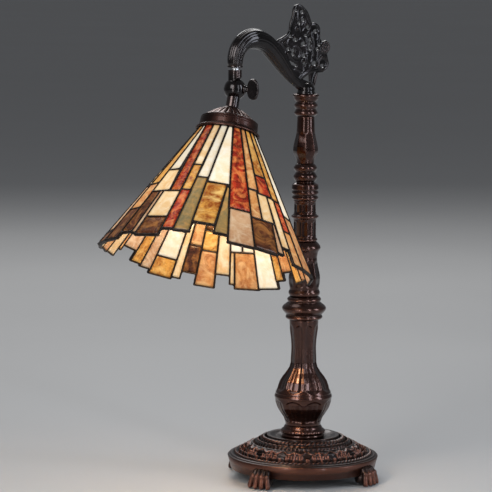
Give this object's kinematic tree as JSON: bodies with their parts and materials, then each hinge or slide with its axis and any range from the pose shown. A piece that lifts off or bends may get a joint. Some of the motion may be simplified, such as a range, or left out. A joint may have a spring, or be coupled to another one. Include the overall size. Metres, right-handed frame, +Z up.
{
  "type": "leaded glass table lamp",
  "caption": "Table lamp with a turned bronze column on a domed claw-foot base, a hooked bridge arm with an openwork crest, and a tilting cone shade of leaded glass panes.",
  "frame": {"origin": "on the column's axis, in the plane that the four feet rest on", "axes": "+Z up along the column, -X along the arm towards the shade, +Y completes a right-handed set"},
  "size_m": [0.3613, 0.227, 0.5083],
  "materials": {
    "antique_bronze": "cast metal with an antique dark bronze patina, copper showing on the raised relief",
    "mahogany_bronze": "cast metal with a satin mahogany bronze patina, redder on edges",
    "gunmetal_bronze": "near-black bronze, semi-gloss",
    "cap_bronze": "spun brass with a brown bronze patina, satin",
    "grey_iron": "rough grey iron, lightly painted",
    "zinc_steel": "zinc-plated steel",
    "brass_fitting": "plain brass, slightly dull",
    "black_plastic": "moulded black plastic",
    "insulating_card": "pressed insulating card sleeve",
    "dark_solder": "solder over copper foil with a dark brown patina",
    "glass_white": "opalescent white art glass, lit from inside",
    "glass_cream": "cream opalescent art glass, lit from inside",
    "glass_rose": "pink-cream streaky art glass, lit from inside",
    "glass_amber": "amber mottled art glass, lit from inside",
    "glass_orange": "orange streaky art glass, lit from inside",
    "glass_red": "deep red mottled art glass, lit from inside",
    "glass_brown": "brown mottled art glass, lit from inside",
    "glass_olive": "olive and tan mottled art glass, lit from inside",
    "bulb_metal": "rolled aluminium screw shell",
    "frosted_bulb": "frosted glass, glowing warm white"
  },
  "bodies": {
    "stand": {"base_casting": "antique_bronze", "base_weight": "grey_iron", "bottom_cover": "grey_iron", "paw_foot_1": "antique_bronze", "paw_foot_2": "antique_bronze", "paw_foot_3": "antique_bronze", "paw_foot_4": "antique_bronze", "foot_screws": "zinc_steel", "cord_bushing": "black_plastic", "tension_pipe": "zinc_steel", "pipe_nut": "zinc_steel", "pipe_washer": "zinc_steel", "column_foot": "mahogany_bronze", "column_lower": "mahogany_bronze", "column_torus": "mahogany_bronze", "column_middle": "mahogany_bronze", "column_sleeve": "mahogany_bronze", "column_rings": "mahogany_bronze", "column_vase": "mahogany_bronze", "column_capital": "mahogany_bronze", "bridge_arm": "gunmetal_bronze", "arm_crest": "gunmetal_bronze", "arm_nipple": "zinc_steel"},
    "swivel_head": {"swivel_upper": "gunmetal_bronze", "swivel_washer": "zinc_steel"},
    "shade": {"swivel_lower": "gunmetal_bronze", "shade_nipple": "zinc_steel", "shade_cap": "cap_bronze", "cap_locknuts": "zinc_steel", "inner_plate": "brass_fitting", "fitter_ring": "brass_fitting", "came_lattice": "dark_solder", "glass_white": "glass_white", "glass_cream": "glass_cream", "glass_rose": "glass_rose", "glass_amber": "glass_amber", "glass_orange": "glass_orange", "glass_red": "glass_red", "glass_brown": "glass_brown", "glass_olive": "glass_olive", "socket_cap": "brass_fitting", "socket_shell": "brass_fitting", "socket_insulator": "insulating_card", "bulb_base": "bulb_metal", "bulb_glass": "frosted_bulb"},
    "key": {"swivel_key": "gunmetal_bronze"},
    "switch_knob": {"socket_knob": "black_plastic"}
  },
  "joints": [
    {"name": "shade_turn", "type": "hinge", "parent": "stand", "child": "swivel_head", "pos_m": [-0.1013, 0, 0.4215], "axis": [0, 0, 1], "range_deg": [-70, 23]},
    {"name": "shade_tilt", "type": "hinge", "parent": "swivel_head", "child": "shade", "pos_m": [-0.1013, 0, 0.4215], "axis": [-0.4011, 0.916, 0], "range_deg": [-4, 45]},
    {"name": "key_turn", "type": "hinge", "parent": "swivel_head", "child": "key", "pos_m": [-0.1013, 0, 0.4215], "axis": [0.4011, -0.916, 0], "range_deg": [-30, 150]},
    {"name": "switch_turn", "type": "hinge", "parent": "shade", "child": "switch_knob", "pos_m": [-0.12346, -0.0097, 0.36009], "axis": [0.8523, 0.3732, -0.3665], "continuous": true}
  ]
}
